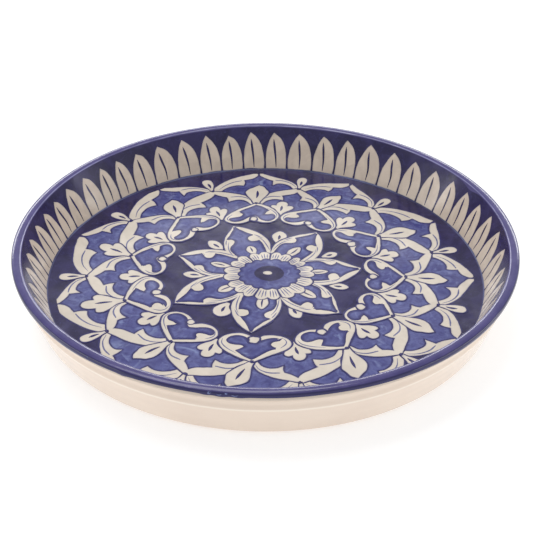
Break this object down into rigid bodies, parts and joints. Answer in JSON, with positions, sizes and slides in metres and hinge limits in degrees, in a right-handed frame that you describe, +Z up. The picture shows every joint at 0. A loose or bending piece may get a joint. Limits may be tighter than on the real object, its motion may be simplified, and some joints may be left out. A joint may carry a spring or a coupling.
{
  "type": "hand painted ceramic serving plate",
  "caption": "Round serving plate with a flat well, an upright wall and a rolled lip, glazed blue inside and cream outside, standing on a turned foot ring.",
  "frame": {"origin": "on the plate's axis, in the plane that the foot ring stands on", "axes": "+Z up along the axis of the plate, out of the well; the design repeats round it"},
  "size_m": [0.3, 0.3, 0.0362],
  "materials": {
    "fired_clay": "bare fired clay, matt",
    "white_slip": "white slip under the glaze",
    "cobalt_ground": "glossy dark cobalt painting under the glaze",
    "blue_wash": "glossy mid blue wash, brushed",
    "cream_painting": "glossy cream painting",
    "rim_blue": "glossy violet blue glaze on the lip",
    "cream_glaze": "soft glossy cream glaze"
  },
  "bodies": {
    "root": {"clay_body": "fired_clay", "inner_slip": "white_slip", "floor_glaze": "cobalt_ground", "wall_glaze": "cobalt_ground", "rim_glaze": "rim_blue", "outer_glaze": "cream_glaze", "base_glaze": "cream_glaze"}
  },
  "joints": []
}
